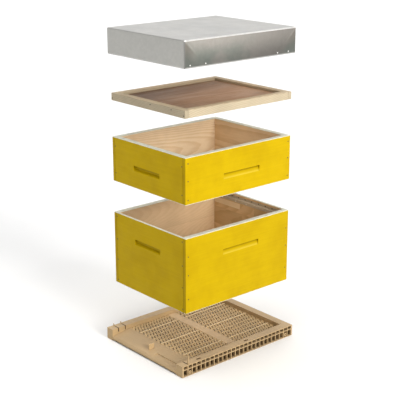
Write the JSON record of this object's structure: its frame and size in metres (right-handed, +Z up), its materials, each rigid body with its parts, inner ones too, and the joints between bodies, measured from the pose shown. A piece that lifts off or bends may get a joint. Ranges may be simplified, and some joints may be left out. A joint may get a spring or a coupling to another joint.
{
  "type": "beehive",
  "caption": "Wooden ten-frame beehive opened out into its levels: vented plastic floor, brood box, honey super, inner cover and flat steel roof.",
  "frame": {"origin": "centre of the footprint, on the surface that the floor stands on", "axes": "+Z up, -Y towards the entrance at the front, +X to the right-hand side as seen by someone facing the back from the entrance"},
  "size_m": [0.452, 0.556, 1.196],
  "materials": {
    "tan_plastic": "satin moulded",
    "yellow_paint": "yellow outdoor paint outside, greyish-white paint on the top and bottom edges, bare pine inside",
    "nail_steel": "dull",
    "bright_steel": "bright",
    "zinc_sheet": "galvanised",
    "hardboard": "smooth",
    "bare_pine": "planed"
  },
  "bodies": {
    "floor": {"floor_right_rail": "tan_plastic", "floor_left_rail": "tan_plastic", "floor_rear_rail": "tan_plastic", "floor_deck": "tan_plastic", "floor_crossbar": "tan_plastic", "floor_screen_front": "tan_plastic", "floor_screen_rear": "tan_plastic", "entrance_fin": "tan_plastic", "gate_guide_left": "tan_plastic", "gate_guide_left_rear": "tan_plastic", "gate_guide_right": "tan_plastic"},
    "brood_box": {"brood_right_wall": "yellow_paint", "brood_left_wall": "yellow_paint", "brood_front_wall": "yellow_paint", "brood_rear_wall": "yellow_paint", "brood_wall_nails": "nail_steel", "brood_front_runner": "zinc_sheet", "brood_rear_runner": "zinc_sheet", "brood_runner_nails": "bright_steel"},
    "honey_super": {"super_right_wall": "yellow_paint", "super_left_wall": "yellow_paint", "super_front_wall": "yellow_paint", "super_rear_wall": "yellow_paint", "super_wall_nails": "nail_steel"},
    "inner_cover": {"inner_panel": "hardboard", "inner_front_rail": "bare_pine", "inner_rear_rail": "bare_pine", "inner_right_rail": "bare_pine", "inner_left_rail": "bare_pine", "inner_nails": "nail_steel"},
    "roof": {"roof_skin": "zinc_sheet", "roof_board": "bare_pine", "roof_right_rim": "bare_pine", "roof_left_rim": "bare_pine", "roof_front_rim": "bare_pine", "roof_rear_rim": "bare_pine", "roof_nails": "bright_steel"}
  },
  "joints": [
    {"name": "brood_box_lift", "type": "slide", "parent": "floor", "child": "brood_box", "axis": [0, 0, 1], "range_m": [-0.1867, 0]},
    {"name": "honey_super_lift", "type": "slide", "parent": "brood_box", "child": "honey_super", "axis": [0, 0, 1], "range_m": [-0.1197, 0]},
    {"name": "inner_cover_lift", "type": "slide", "parent": "honey_super", "child": "inner_cover", "axis": [0, 0, 1], "range_m": [-0.1337, 0]},
    {"name": "roof_lift", "type": "slide", "parent": "inner_cover", "child": "roof", "axis": [0, 0, 1], "range_m": [-0.2239, 0]}
  ]
}
